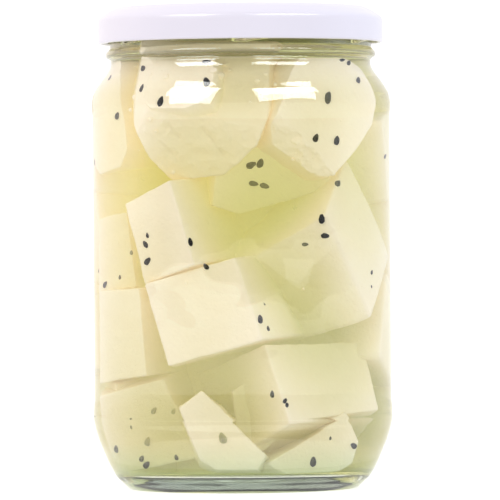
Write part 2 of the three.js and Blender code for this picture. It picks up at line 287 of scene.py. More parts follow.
def let_light_through(material, tint):
    """Light that comes from a lamp or leaves a matt surface goes straight through, tinted,
    so that what stands inside is lit. All other rays meet the real surface."""
    output, shader = nodes_of[material]
    path = add(material, "ShaderNodeLightPath")
    either = add(material, "ShaderNodeMath", operation="MAXIMUM")
    clear = add(material, "ShaderNodeBsdfTransparent", Color=(*tint, 1))
    choice = add(material, "ShaderNodeMixShader")
    join(material, path.outputs["Is Shadow Ray"], either.inputs[0])
    join(material, path.outputs["Is Diffuse Ray"], either.inputs[1])
    join(material, either.outputs[0], choice.inputs[0])
    join(material, shader.outputs[0], choice.inputs[1])
    join(material, clear.outputs[0], choice.inputs[2])
    join(material, choice.outputs[0], output.inputs["Surface"])


clear_glass = new_material("clear_glass")
glass_output, glass_shader = nodes_of[clear_glass]
glass_shader.inputs["Base Color"].default_value = (1, 1, 1, 1)
glass_shader.inputs["Roughness"].default_value = 0.0
glass_shader.inputs["IOR"].default_value = 1.52
glass_shader.inputs["Transmission Weight"].default_value = 1.0
let_light_through(clear_glass, (0.97, 0.98, 0.97))
glass_tint = add(clear_glass, "ShaderNodeVolumeAbsorption", Density=4.5)
glass_tint.inputs["Color"].default_value = (0.28, 0.80, 0.10, 1)
join(clear_glass, glass_tint.outputs[0], glass_output.inputs["Volume"])
roughen(clear_glass, noise(clear_glass, 55.0, 1.0), 0.05, 0.002)

jar_profile = np.vstack([outer_profile, inner_profile])
jar = make_piece("jar_glass", *lathe(jar_profile, glass_turns, ridged), clear_glass)
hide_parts("glass_jar")


# The cheese. Blocks of a semi-hard white cheese, cut at about 27 mm, boiled and put up in
# brine: flat cut faces with soft edges, fine curd grain and a few torn and broken sides.
# They stand round a core of the same cheese that fills the middle of the jar.
block_size = 27.0
glass_gap = 0.9
core_radius = 20.0
core_low = 6.2
core_high = 131.0
core_turns = 72
core_swell = 0.03
crack_depth = 0.45
crack_width = 0.4
cheese_top = 134.0
front_cells = 54
torn_cells = 96
row_cells = 30
front_sharpness = 70.0
row_sharpness = 26.0
row_tilt = 9
row_roll = 26
lump_sizes = (9.0, 3.1, 1.2)
lump_heights = (0.35, 0.14, 0.06)
grain_size = 1.25
clump_size = 2.6

# Outer face: its middle, the way it faces round from the front, its upward tilt, the
# block's depth behind it and its outline, clockwise from the top left. A broken corner is
# a cut that faces round, tilts up and lies that far from the face's middle. Some blocks
# say how much of the painted murk, shade and glow they get, which side is torn, how high
# its grains stand and where its cracks start and end.
front_blocks = [
    dict(
        place=(-9, -32, 101),
        facing=-12,
        tilt=-18,
        outline=[
            (-20.5, 26.5), (15.5, 25), (17, 8.5), (14, 1.5), (10, -2.5), (3.5, -8),
            (-10.5, -9.5), (-17, -2.5), (-22, 8),
        ],
        cut=(-3, 26, 6.6),
        painted_murk_scale=0.25,
        torn="face",
        grain=0.8,
        cracks=[
            (-1.5, 6.5, 1.5, 2.5),
            (1.5, 2.5, 4.3, -2),
            (-11.2, 8, -8.3, 3.3),
            (-13.5, 2.4, -9.2, -2.9),
        ],
    ),
    dict(
        place=(-17.5, -33.3, 120.4),
        facing=-27,
        tilt=28,
        deep=16,
        outline=[
            (-11.3, 8), (8.9, 8.4), (10.8, 0.2), (9.8, -5.2), (3.7, -8), (-7.7, -7.7),
            (-11.1, -4.7), (-11.7, 3.4),
        ],
    ),
    dict(
        place=(24.5, -27, 110.5),
        facing=36,
        tilt=8,
        deep=13,
        outline=[
            (-14, 8), (-8, 17.8), (8, 18.3), (15, 14), (17.5, 5), (15.5, -2),
            (8, -10), (0, -17.5), (-4, -17.5), (-9.5, -13.5), (-17, -7.5), (-18.5, -1.5),
        ],
        cut=(8, -20, 7.5),
        painted_murk_scale=0.15,
        torn="cut",
        grain=1.5,
    ),
    dict(
        place=(-36.2, -12.5, 110.3),
        facing=-56,
        tilt=0,
        deep=20,
        outline=[
            (-9.5, 9), (-5, 17), (1, 18), (6.5, 5.5), (8.5, -3), (9, -9),
            (6, -14), (-4.5, -16), (-9, -13),
        ],
    ),
    dict(
        place=(-26, -29.3, 77),
        facing=-42,
        tilt=-4,
        outline=[(-8.8, 8.4), (8.2, 15.2), (15.9, -9.8), (-2.3, -15.3)],
    ),
    dict(
        place=(-34.5, -13, 71),
        facing=-30,
        tilt=0,
        deep=24,
        outline=[(-6.5, 10), (5, 12), (8, -10.5), (-7, -12)],
    ),
    dict(
        place=(-11, -36.4, 53.4),
        facing=-16,
        tilt=1,
        outline=[(-17.5, 8.3), (14.5, 17.8), (22, -7), (-10.4, -16)],
        cut=(55, 18, 13.1),
    ),
    dict(
        place=(32, -19, 74.5),
        facing=63,
        tilt=11,
        deep=30,
        outline=[(-27, -6), (-0.5, 24.5), (16.5, -5.5), (1.5, -23.5), (-14, -27.5)],
        cut=(6, -19.5, 9.4),
    ),
    dict(
        place=(-33.5, -16.5, 46.5),
        facing=-52,
        tilt=-4,
        outline=[(-9.5, 13), (9.5, 14), (10.5, -12), (-10.5, -14.5)],
    ),
    dict(
        place=(22, -25, 33),
        facing=44,
        tilt=19,
        outline=[(-18.5, 11.5), (15.5, 11.5), (18.5, -10), (-16, -13)],
    ),
    dict(
        place=(-27, -16, 20),
        facing=-36,
        tilt=-14,
        outline=[(-15, 8), (9.5, 14), (17, -8), (-11, -14)],
    ),
    dict(
        place=(-6.5, -36.5, 15.5),
        facing=-4,
        tilt=2,
        outline=[(-11.5, 9.5), (-5, 15), (13, -3.5), (10.5, -8), (-1.5, -8), (-6, -5)],
    ),
    dict(
        place=(23, -27, 11.5),
        facing=28,
        tilt=-2,
        deep=24,
        outline=[(-18.5, -2), (5.5, 12), (11, 4), (9.5, -3), (5, -5), (-12.5, -5.5)],
    ),
    dict(
        place=(6.8, -25.6, 92.4),
        facing=15,
        tilt=-11,
        deep=17,
        outline=[
            (-14, 2), (-5, 9.5), (4.5, 9), (14, 5), (18.7, -2), (9, -5.5),
            (-7, -10.5), (-14.5, -8),
        ],
    ),
    dict(
        place=(5, -28, 25),
        facing=4,
        tilt=0,
        deep=22,
        outline=[(-8, 5), (0, 10.5), (7.5, 4.5), (7.5, -4.5), (0, -11), (-7, -4.5)],
    ),
]

# Rows of blocks round the rest of the jar, each pushed out against the glass
block_rows = [
    dict(up=20, angles=(132, 176, 221, 266), wide=26, tall=27, lean=0),
    dict(up=47, angles=(96, 147, 198, 246), wide=27, tall=27, lean=0),
    dict(up=75, angles=(114, 165, 214, 259), wide=27, tall=27, lean=0),
    dict(up=101.5, angles=(103, 153, 205, 254), wide=28, tall=26, lean=-3),
    dict(up=124, angles=(132, 196, 262), wide=24, tall=17, lean=25),
]

drawn = 11
draw_factor = 16807
draw_range = 2147483647


def draw(low, high):
    """The next of an even, repeatable row of draws between low and high."""
    global drawn
    drawn = (drawn * draw_factor) % draw_range
    return low + (high - low) * drawn / draw_range


def glass_at(z):
    """Inner radius of the glass at heights z, read from the wall above the flat floor."""
    wall = inner_profile[::-1][floor_steps - 1 :]
    return np.interp(z, wall[:, 1], wall[:, 0])


def axes_of(facing, tilt):
    """Right, up and outward direction of a face, as the columns of a matrix."""
    f, t = math.radians(facing), math.radians(tilt)
    right = (math.cos(f), math.sin(f), 0)
    up = (-math.sin(t) * math.sin(f), math.sin(t) * math.cos(f), math.cos(t))
    out = (math.cos(t) * math.sin(f), -math.cos(t) * math.cos(f), math.sin(t))
    return np.array([right, up, out]).T


def turned(degrees):
    """The matrix that turns rows of x and y anticlockwise."""
    turn = math.radians(degrees)
    return np.array([[math.cos(turn), math.sin(turn)], [-math.sin(turn), math.cos(turn)]])


def pushed_out(row, angle):
    """A block turned by a small draw and moved out along its radius until a corner of its
    face almost meets the glass."""
    tilt = row["lean"] + draw(-row_tilt, row_tilt)
    roll = draw(-row_roll, row_roll)
    w, h = row["wide"] * draw(0.48, 0.52), row["tall"] * draw(0.48, 0.52)
    outline = np.array([(-w, h), (w, h), (w, -h), (-w, -h)]) @ turned(roll)
    axes = axes_of(angle, tilt)
    away = axes_of(angle, 0)[:, 2]
    corners = outline @ axes[:, :2].T
    reach = inner_radius
    while True:
        at = corners + away * reach
        room = glass_at(np.maximum(row["up"] + at[:, 2], glass_floor)) - glass_gap
        if (np.hypot(at[:, 0], at[:, 1]) <= room).all():
            break
        reach -= 0.25
    place = (*(away[:2] * reach), row["up"])
    deep = min(block_size, reach - 10)
    return dict(place=place, facing=angle, tilt=tilt, outline=outline, deep=deep)


def cube_lattice(cells):
    """The surface lattice of a cube with that many cells a side: whole-number points of
    which one coordinate is 0 or the number of cells, and the four-cornered faces between
    them, facing outwards."""
    a, b = np.meshgrid(np.arange(cells + 1), np.arange(cells + 1), indexing="ij")
    points, faces = [], []
    step = np.arange((cells + 1) ** 2).reshape(cells + 1, cells + 1)
    ring = [step[:-1, :-1], step[1:, :-1], step[1:, 1:], step[:-1, 1:]]
    for axis in range(3):
        for side in (0, cells):
            sheet = np.zeros((cells + 1, cells + 1, 3), int)
            sheet[..., axis] = side
            sheet[..., (axis + 1) % 3] = a
            sheet[..., (axis + 2) % 3] = b
            order = ring if side else ring[::-1]
            quads = np.stack([c.ravel() for c in order], 1)
            faces.append(quads + len(points) * step.size)
            points.append(sheet.reshape(-1, 3))
    points, where = np.unique(np.vstack(points), axis=0, return_inverse=True)
    return points, where.ravel()[np.vstack(faces)]


def lumps(points, size, seed):
    """Even lumps between -1 and 1: a random value at each corner of a cubic mesh of that
    size, blended smoothly between the eight corners round a point."""
    p = points / size + seed * 17.31
    low = np.floor(p)
    f = p - low
    f = f * f * (3 - 2 * f)
    total = np.zeros(len(p))
    for corner in range(8):
        bit = np.array([corner & 1, corner >> 1 & 1, corner >> 2 & 1])
        q = low + bit
        value = np.sin(q @ np.array([12.9898, 78.233, 37.719])) * 43758.5453
        weight = np.prod(np.where(bit, f, 1 - f), 1)
        total += weight * (value - np.floor(value))
    return 2 * total - 1


def torn_curd(local, pull, block, seed):
    """Extra relief where curd shows torn: on the face or cut that the block names it is
    lumps of the size of curd grains, of which only the upper part stands out, over wider
    clumps, and a crack is a groove whose depth falls off as exp(-(distance / width)^2)."""
    side = -1 if block["torn"] == "cut" else len(block["outline"])
    on_side = np.clip((pull[:, side] / pull.max(1) - 0.97) / 0.03, 0, 1)
    grains = np.clip(1.6 * lumps(local, grain_size, seed + 3), 0, 1)
    clumps = lumps(local, clump_size, seed + 4)
    relief = block["grain"] * (0.35 * grains + 0.65 * clumps) * on_side
    for x0, y0, x1, y1 in block.get("cracks", ()):
        start, end = np.array([x0, y0]), np.array([x1, y1])
        share = ((local[:, :2] - start) @ (end - start)) / ((end - start) ** 2).sum()
        nearest = start + np.clip(share, 0, 1)[:, None] * (end - start)
        distance = np.linalg.norm(local[:, :2] - nearest, axis=1)
        relief -= crack_depth * np.exp(-((distance / crack_width) ** 2)) * on_side
    return relief


def block_surface(block, cells, sharp, seed):
    """A block with rounded edges. Seen from its middle, the surface in direction u lies
    at the distance (sum of (n.u / d)^sharp)^(-1 / sharp) over the planes that face u,
    each of normal n at distance d: the higher the power, the sharper the edges. Lumps of
    three sizes move it in or out."""
    outline = np.array(block["outline"], float)
    deep = block.get("deep", block_size)
    axes = axes_of(block["facing"], block["tilt"])
    middle = np.append(outline.mean(0), -deep / 2)
    along = np.roll(outline, -1, 0) - outline
    sides = np.stack([-along[:, 1], along[:, 0], np.zeros(len(along))], 1)
    sides /= np.linalg.norm(sides, axis=1)[:, None]
    normals = np.vstack([sides, [(0, 0, 1)], [(0, 0, -1)]])
    away = np.concatenate([(sides[:, :2] * outline).sum(1), [0, deep]])
    if "cut" in block:
        facing, tilt, distance = block["cut"]
        normals = np.vstack([normals, axes_of(facing, tilt)[:, 2] @ axes])
        away = np.append(away, distance)
    away = away - normals @ middle
    lattice, faces = cube_lattice(cells)
    s = 2 * lattice / cells - 1
    half = np.append(np.ptp(outline, axis=0), deep) / 2
    u = (0.5 * s + 0.5 * np.sin(s * math.pi / 2)) * half
    u /= np.linalg.norm(u, axis=1)[:, None]
    pull = np.clip(u @ normals.T / away, 0, None)
    reach = (pull**sharp).sum(1) ** (-1 / sharp)
    local = middle + u * reach[:, None]
    relief = np.zeros(len(local))
    for k, (size, height) in enumerate(zip(lump_sizes, lump_heights)):
        relief += height * lumps(local, size, seed + k)
    if "torn" in block:
        relief += torn_curd(local, pull, block, seed)
    local += u * relief[:, None]
    points = local @ axes.T + np.array(block["place"], float)
    return keep_inside(points, glass_gap / 2), faces


def keep_inside(points, gap):
    """Presses points that would reach the glass flat against it, clear of it by a gap."""
    out = points.copy()
    out[:, 2] = np.clip(out[:, 2], glass_floor + gap, cheese_top)
    r = np.hypot(out[:, 0], out[:, 1])
    room = glass_at(out[:, 2]) - gap
    out[:, :2] *= np.minimum(1, room / np.maximum(r, 1e-6))[:, None]
    return out


def mark_depth(piece, points, painted_murk_scale=1.0):
    """Keeps for every vertex how far it lies inside the glass, in millimetres, times a
    factor that sets how much painted murk, shade and glow the piece gets."""
    r = np.hypot(points[:, 0], points[:, 1])
    depth = np.minimum(glass_at(points[:, 2]) - r, points[:, 2] - glass_floor)
    layer = piece.data.attributes.new("depth", "FLOAT", "POINT")
    layer.data.foreach_set("value", (depth * painted_murk_scale).astype(np.float32))


# Brine clouds what lies deeper: the colour turns from the near one to a murky one painted on
# the surface, with painted shade in it.
# It is tan and lighter on the left and olive and darker on the right as painted light, and a
# part of it is a painted glow that stands in for the lit brine itself.
# Heights and reaches are in metres.
# Painted light: the murky colour is lighter and warmer on the left and darker on the right.
murk_painted_lit_left = (0.97, 0.84, 0.43, 1)
murk_painted_shaded_right = (0.71, 0.70, 0.39, 1)
# Painted shade: the murky colour is multiplied by this grey where it stands as the surface's
# own colour.
murk_painted_shade = (0.60, 0.60, 0.60, 1)
murk_reach = 0.042
# Painted shade: near the base the colour is multiplied by this green, standing in for less
# light and for light tinted by the thick heel glass.
heel_painted_green_shade = (0.62, 0.80, 0.62, 1)
heel_heights = (0.005, 0.017)
# Painted glow: these heights and shares set how strongly the cheese glows in place of light
# the brine sends back, more higher up and deeper in, less under the lid as painted shade.
lit_heights = (0.02, 0.10)
lit_shares = (0.23, 0.55)
neck_heights = (0.112, 0.130)
neck_share = 0.30
near_share = 0.24


def cloud(material, near_colour, clear_mm, murk_mm):
    """Turns the near colour to the murky one by a share that rises smoothly from 0 at the
    depth to which the brine looks clear to 1 where nothing shows through. The murky colour
    is painted on the surface and goes evenly from left to right, lighter on the left as
    painted light; a darker copy of it is painted shade. A part of the light is shaded like
    the surface and a part is a painted glow that stands in for what the brine sends back,
    more of it deeper in and up towards the shoulder, less near the base and under the lid,
    where it is painted shade. Near the base the colour is painted darker and greener, as
    shade and as the tint of light through the thick glass of the heel."""
    shader = nodes_of[material][1]
    depth = add(material, "ShaderNodeAttribute", attribute_name="depth").outputs["Fac"]
    share = ramp(material, depth, clear_mm, murk_mm)
    share.node.interpolation_type = "SMOOTHSTEP"
    place = add(material, "ShaderNodeTexCoord")
    axes = add(material, "ShaderNodeSeparateXYZ")
    join(material, place.outputs["Object"], axes.inputs[0])
    x, z = axes.outputs["X"], axes.outputs["Z"]
    side = ramp(material, x, -murk_reach, murk_reach)
    murk = blend(material, side, murk_painted_lit_left, murk_painted_shaded_right)
    shaded = blend(material, 1.0, murk, murk_painted_shade, "MULTIPLY")
    surface = blend(material, share, near_colour, shaded)
    # Painted shade, darker and greener towards the base.
    heel = ramp(material, z, *heel_heights, 1.0, 0.0)
    surface = blend(material, heel, surface, heel_painted_green_shade, "MULTIPLY")
    # Painted glow: emission on the cheese stands in for light the brine sends back.
    glow = blend(material, share, near_colour, murk)
    level = add(material, "ShaderNodeMath", operation="MULTIPLY")
    join(material, ramp(material, z, *lit_heights, *lit_shares), level.inputs[0])
    join(material, ramp(material, z, *neck_heights, 1.0, neck_share), level.inputs[1])
    lit = add(material, "ShaderNodeMath", operation="MULTIPLY")
    join(material, ramp(material, share, 0.0, 1.0, near_share), lit.inputs[0])
    join(material, level.outputs[0], lit.inputs[1])
    join(material, surface, shader.inputs["Base Color"])
    join(material, glow, shader.inputs["Emission Color"])
    join(material, lit.outputs[0], shader.inputs["Emission Strength"])


cheese = new_material("nabulsi_cheese")
cheese_output, cheese_shader = nodes_of[cheese]
curd_warm = (0.93, 0.80, 0.59, 1)
curd_pale = (0.97, 0.86, 0.68, 1)
cheese_clear_mm = 2.0
cheese_murk_mm = 20.0
curd_patches = noise(cheese, 160.0, 4.0, 0.6)
curd_colour = blend(cheese, curd_patches, curd_warm, curd_pale)
cloud(cheese, curd_colour, cheese_clear_mm, cheese_murk_mm)
roughen(cheese, noise(cheese, 900.0, 3.0, 0.6), 0.5, 0.0006)
cheese_shader.inputs["Roughness"].default_value = 0.55
cheese_shader.inputs["Specular IOR Level"].default_value = 0.15
join(cheese, cheese_shader.outputs[0], cheese_output.inputs["Surface"])

cheese_points, cheese_faces = [], []


def add_cheese(name, surfaces, painted_murk_scale=1.0):
    """Makes one piece of cheese from a list of surfaces, and notes it for the seeds."""
    points, faces, count = [], [], 0
    for some_points, some_faces in surfaces:
        faces.append(some_faces + count)
        points.append(some_points)
        count += len(some_points)
    points, faces = np.vstack(points), np.vstack(faces)
    piece = make_piece(name, points, [faces], cheese)
    mark_depth(piece, points, painted_murk_scale)
    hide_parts("cheese_blocks")
    cheese_faces.append(faces + sum(len(p) for p in cheese_points))
    cheese_points.append(points)


for number, block in enumerate(front_blocks, 1):
    cells = torn_cells if "torn" in block else front_cells
    surface = block_surface(block, cells, front_sharpness, number)
    add_cheese(f"cheese_front_block_{number:02d}", [surface], block.get("painted_murk_scale", 1.0))

for level, row in enumerate(block_rows, 1):
    surfaces = []
    for angle in row["angles"]:
        block = pushed_out(row, angle)
        surfaces.append(block_surface(block, row_cells, row_sharpness, angle % 97))
    add_cheese(f"cheese_row_{level}", surfaces)


def core_surface():
    """The lumpy core: a round column with flat ends on a grid of turn and profile."""
    profile = np.vstack(
        [
            straight((0, core_low), (core_radius - 1, core_low), 8),
            arc((core_radius - 1, core_low + 1), 1, -60, 0, 3),
            straight((core_radius, core_low + 2), (core_radius, core_high - 2), 60),
            arc((core_radius - 1, core_high - 1), 1, 0, 60, 3),
            straight((core_radius - 1, core_high), (0, core_high), 8),
        ]
    )
    points, faces = lathe(profile, core_turns)
    side = np.hypot(points[:, 0], points[:, 1]) > core_radius / 2
    swell = 1 + core_swell * lumps(points, 6.0, 5) * side
    points[:, :2] *= swell[:, None]
    return points, faces


core_points, core_faces = core_surface()
core = make_piece("cheese_core", core_points, core_faces, cheese)
mark_depth(core, core_points)
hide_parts("cheese_blocks")
cheese_faces.append(core_faces[0] + sum(len(p) for p in cheese_points))
cheese_points.append(core_points)


# The seeds. Black nigella seeds, about 2.6 mm long: drop-shaped, with three or four blunt
# edges and a rough, dull skin. They lie half sunk in the faces of the blocks.
seed_length = 2.4
seed_width = 1.45
seed_thickness = 1.2
seed_tip = 0.28
seed_edges = 0.09
seed_lumps = 0.10
seed_gap = 0.2
hidden_seeds = 36
seed_clear_mm = 2.0
seed_murk_mm = 17.0

# Turn round the jar, height, spin and size of the seeds that show from the front, and
# for some how much of the painted murk, shade and glow they get
front_seeds = [
    (-49, 124.7, -35, 1.1),
    (-74, 121.8, -35, 0.9),
    (-44, 118.7, 0, 0.9),
    (-64, 112, 15, 1.2),
    (-16, 126.5, 75, 1.2),
    (-14.5, 120, -30, 1.3),
    (-34, 115.2, 15, 1.2),
    (58, 126.3, 45, 1.1),
    (54, 127.4, 80, 0.9),
    (60, 120, 30, 1),
    (42, 116, 25, 1.2),
    (34, 104.3, 30, 1.1),
    (44.5, 103.6, 20, 1.2),
    (5.5, 96.5, 60, 1.2, 0.55),
    (10.5, 97, 15, 1.2, 0.55),
    (7, 91, 100, 1.1, 0.55),
    (13.5, 90.3, 110, 1.1, 0.55),
    (48, 91, 60, 1.1),
    (31.5, 84, -45, 0.9),
    (35, 80.5, -15, 1.3),
    (37.5, 75.5, 95, 1.1),
    (30, 73, 90, 0.8),
    (-21.5, 74, 15, 1.1),
    (-42.5, 76, -5, 0.7),
    (-44, 73.4, -40, 1),
    (-61, 71, 0, 0.6),
    (-43, 68.5, 50, 1.2),
    (-15.5, 66.8, -40, 0.9),
    (-73.5, 61.5, 40, 1),
    (-71, 93, -45, 0.7),
    (7.3, 51.3, 25, 1.2),
    (11, 48.5, 10, 0.7),
    (13, 29.2, 0, 0.9),
    (17.6, 27.2, 45, 0.8),
    (18.3, 25.9, 20, 0.7),
    (-49.5, 23.6, 50, 0.9),
    (-38, 23.5, 30, 0.7),
    (-9, 17.2, -20, 1.4, 2.4),
    (-56, 17.2, 30, 1.1),
    (-74.5, 14.6, 20, 1.1),
    (-62.5, 12, 30, 1),
    (-61, 10, 45, 1.2),
    (-40.5, 12.4, 0, 0.8),
    (34, 9.9, 0, 1.3),
    (54, 14.2, -55, 1.1),
    (42, 17, 0, 0.45),
    (75, 37, 0, 1),
    (66, 64.6, 40, 0.7),
    (64.5, 60.4, 0, 0.4),
    (-63.5, 20.5, 0, 0.5),
    (-66.5, 63.7, 0, 0.6),
    (10, 55.7, 0, 0.4),
]

cheese_tree = BVHTree.FromPolygons(
    np.vstack(cheese_points).tolist(), np.vstack(cheese_faces).tolist()
)


def ball_quads(rows, turns):
    """Four-cornered faces of a ball whose points lie on a grid of turn and height."""
    grid = np.arange(rows * turns).reshape(rows, turns)
    here, below = grid[:-1], grid[1:]
    quads = np.stack([here, np.roll(here, -1, 1), np.roll(below, -1, 1), below], 2)
    return quads.reshape(-1, 4)


def seed_surface(size, shape):
    """A drop with blunt edges on a grid of turn and height: its radius is the sine of the
    height's angle, narrowed towards the tip, times a wave round the turn that makes three
    or four edges, and small lumps roughen it."""
    rows, turns = 13, 16
    v = np.linspace(0, math.pi, rows)[:, None]
    t = np.arange(turns)[None, :] * 2 * math.pi / turns
    edges = 3 + shape % 2
    waist = np.sin(v) * (1 - seed_tip * np.cos(v))
    waist = waist * (1 + seed_edges * np.cos(edges * t + shape))
    x = seed_width / 2 * waist * np.cos(t)
    y = seed_length / 2 * np.cos(v) * np.ones_like(t)
    z = seed_thickness / 2 * waist * np.sin(t)
    points = np.stack([x, y, z], 2).reshape(-1, 3) * size
    points *= 1 + seed_lumps * lumps(points, 0.5, shape)[:, None]
    return points, ball_quads(rows, turns)


def inward_hit(angle, up, gap):
    """A level ray from the glass to the axis: its start, clear of the glass by a gap, the
    point where it meets the cheese and the way the cheese faces there."""
    away = axes_of(angle, 0)[:, 2]
    start = Vector(away * (float(glass_at(up)) - gap)) + Vector((0, 0, up))
    hit, normal, _, _ = cheese_tree.ray_cast(start, Vector(-away))
    return start, hit, normal


seed_rows = list(front_seeds)
for _ in range(hidden_seeds):
    seed_rows.append((draw(80, 278), draw(9, 124), draw(-90, 90), draw(0.75, 1.2)))

seed_points, seed_faces, seed_painted_murk_scale = [], [], []
for number, (angle, up, spin, size, *painted_murk_scale) in enumerate(seed_rows):
    _, hit, normal = inward_hit(angle, up, seed_gap)
    facing = math.degrees(math.atan2(normal.x, -normal.y))
    tilt = math.degrees(math.asin(max(-1, min(1, normal.z))))
    points, faces = seed_surface(size, number)
    points[:, :2] = points[:, :2] @ turned(-spin)
    points = points @ axes_of(facing, tilt).T + np.array(hit)
    points = keep_inside(points, seed_gap)
    seed_faces.append(faces + number * len(points))
    seed_painted_murk_scale.append(np.full(len(points), painted_murk_scale[0] if painted_murk_scale else 1.0))
    seed_points.append(points)

seed_skin = new_material("nigella_seed")
seed_output, seed_shader = nodes_of[seed_skin]
seed_black = (0.002, 0.002, 0.002, 1)
seed_brown = (0.012, 0.009, 0.009, 1)
seed_patches = noise(seed_skin, 1500.0, 2.0)
seed_colour = blend(seed_skin, seed_patches, seed_black, seed_brown)
cloud(seed_skin, seed_colour, seed_clear_mm, seed_murk_mm)
roughen(seed_skin, seed_patches, 0.5, 0.0002)
seed_shader.inputs["Roughness"].default_value = 0.6
seed_shader.inputs["Specular IOR Level"].default_value = 0.05
join(seed_skin, seed_shader.outputs[0], seed_output.inputs["Surface"])

all_seed_points = np.vstack(seed_points)
seeds = make_piece("nigella_seeds", all_seed_points, [np.vstack(seed_faces)], seed_skin)
mark_depth(seeds, all_seed_points, np.concatenate(seed_painted_murk_scale))
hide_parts("cheese_blocks")


# The crumbs. Bits of curd that have come off the blocks: a few crumbs of one to three
# millimetres, most of them by the top blocks, and fine specks that hang in the brine.
speck_count = 260
crumb_gap = 0.45
# Crumbs get little of the painted murk, shade and glow, so they stay pale.
crumb_painted_murk_scale = 0.3
crumb_radii = (0.5, 0.36, 0.42)
crumb_lumps = 0.28

# Turn round the jar, height, size in millimetres and share of the way out to the glass
crumb_rows = [
    (-48, 116.5, 1.8, 0.3),
    (-46, 120.5, 2.2, 0.2),
    (-43, 122.5, 1.6, 0.3),
    (-52, 113.5, 1.4, 0.4),
    (-39, 110.0, 1.5, 0.3),
    (-37, 106.5, 1.1, 0.3),
    (-34, 121.5, 1.9, 0.2),
    (-31, 94.5, 1.3, 0.4),
    (-12, 123.5, 2.6, 0.0),
    (-10, 121.0, 2.9, 0.0),
    (-8.5, 124.5, 2.3, 0.0),
    (-14, 125.3, 1.9, 0.0),
    (-6, 122.4, 1.7, 0.1),
    (8, 119.5, 1.5, 0.3),
    (12, 121.5, 1.2, 0.4),
    (16, 118.5, 1.0, 0.4),
    (4, 115.0, 0.9, 0.5),
    (24, 98.0, 1.1, 0.1),
    (-24, 62.0, 1.0, 0.2),
    (30, 60.0, 0.9, 0.3),
    (150, 118.0, 2.0, 0.2),
    (205, 92.0, 1.8, 0.2),
    (250, 121.0, 2.2, 0.2),
    (118, 63.0, 1.5, 0.3),
]


def crumb_surface(size, shape):
    """A ball on a grid of turn and height, longer one way, with deep lumps."""
    rows, turns = 9, 12
    v = np.linspace(0, math.pi, rows)[:, None]
    t = np.arange(turns)[None, :] * 2 * math.pi / turns
    x, y, z = np.sin(v) * np.cos(t), np.sin(v) * np.sin(t), np.cos(v) * np.ones_like(t)
    points = np.stack([x, y, z], 2).reshape(-1, 3) * np.array(crumb_radii) * size
    points *= 1 + crumb_lumps * lumps(points, 0.45 * size, shape)[:, None]
    return points, ball_quads(rows, turns)


for _ in range(speck_count):
    crumb_rows.append((draw(-180, 180), draw(12, 126), draw(0.14, 0.42), draw(0.05, 0.9)))

crumb_points, crumb_faces = [], []
for number, (angle, up, size, share) in enumerate(crumb_rows):
    start, hit, _ = inward_hit(angle, up, crumb_gap)
    points, faces = crumb_surface(size, number)
    points = keep_inside(points + np.array(hit.lerp(start, share)), crumb_gap)
    crumb_faces.append(faces + number * len(points))
    crumb_points.append(points)

all_crumb_points = np.vstack(crumb_points)
crumbs = make_piece("curd_crumbs", all_crumb_points, [np.vstack(crumb_faces)], cheese)
mark_depth(crumbs, all_crumb_points, crumb_painted_murk_scale)
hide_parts("cheese_blocks")


# The brine. Salt water clouded by whey, yellow-green where it is deep. It fills the jar
# round the cheese up into the finish and reaches just into the glass, so that no air gap
# shows between them.
brine_level = 135.0
into_glass = 0.15
flat_radius = 30
brine_turns = 192

inside_wall = inner_profile[inner_profile[:, 1] < brine_level - 1][::-1]
inside_wall = inside_wall[inside_wall[:, 0] > flat_radius] + np.array([into_glass, 0])
inside_wall[inside_wall[:, 1] < glass_floor + 0.2, 1] -= into_glass
brine_floor = glass_floor - into_glass
brine_profile = np.vstack(
    [
        straight((0, brine_floor), (flat_radius, brine_floor), 6),
        inside_wall,
        through([(36.75, 134.8), (36.65, 135.6), (36.2, 135.3), (35, 135.05)], 3),
        straight((33, brine_level), (0, brine_level), 6),
    ]
)

brine_water = new_material("brine")
brine_output, brine_shader = nodes_of[brine_water]
brine_shader.inputs["Base Color"].default_value = (1, 1, 1, 1)
brine_shader.inputs["Roughness"].default_value = 0.0
brine_shader.inputs["IOR"].default_value = 1.34
brine_shader.inputs["Transmission Weight"].default_value = 1.0
let_light_through(brine_water, (1.0, 1.0, 1.0))
brine_tint = add(brine_water, "ShaderNodeVolumeAbsorption", Density=22.0)
brine_tint.inputs["Color"].default_value = (0.69, 0.70, 0.05, 1)
join(brine_water, brine_tint.outputs[0], brine_output.inputs["Volume"])

make_piece("brine", *lathe(brine_profile, brine_turns), brine_water)


# The lid. One sheet of white lacquered tinplate pressed into a low middle with a raised
# ring round it, a sloped shoulder and a skirt whose edge is curled inwards. Six lugs on
# the curl hook under the thread ridges.
lid_top = 144.2
lid_low = 133.4
lid_radius = 42.75
sheet = 0.55
curl_radius = 0.72
lug_count = 6
lug_half_width = math.radians(4.2)
lug_reach = 1.25
lug_turn = math.radians(-18)
slope_radius = 36
slope_inset = 0.35
under_radius = 42.0

pressed_top = np.vstack(
    [
        straight((0, lid_top - 0.9), (8, lid_top - 0.9), 5),
        through([(9, lid_top - 0.86), (11, lid_top - 0.66), (13, lid_top - 0.5)], 5),
        straight((14, lid_top - 0.5), (31.5, lid_top - 0.5), 10),
        through(
            [(32.2, lid_top - 0.45), (33.2, lid_top - 0.2), (34.3, lid_top), (35.6, lid_top)],
            4,
        ),
        through([(37, lid_top - 0.06), (38.8, lid_top - 0.75), (40.4, lid_top - 1.75)], 5),
        through(
            [
                (41.2, lid_top - 2.3),
                (42.1, lid_top - 3),
                (42.6, lid_top - 3.7),
                (lid_radius, lid_top - 4.5),
            ],
            5,
        ),
    ]
)
curl_middle = (lid_radius - curl_radius, lid_low + curl_radius)
skirt = np.vstack(
    [
        straight((lid_radius, 138.6), (lid_radius, 134.6), 8),
        arc(curl_middle, curl_radius, 0, -210, 22),
    ]
)
under_top = pressed_top - np.array([0, sheet])
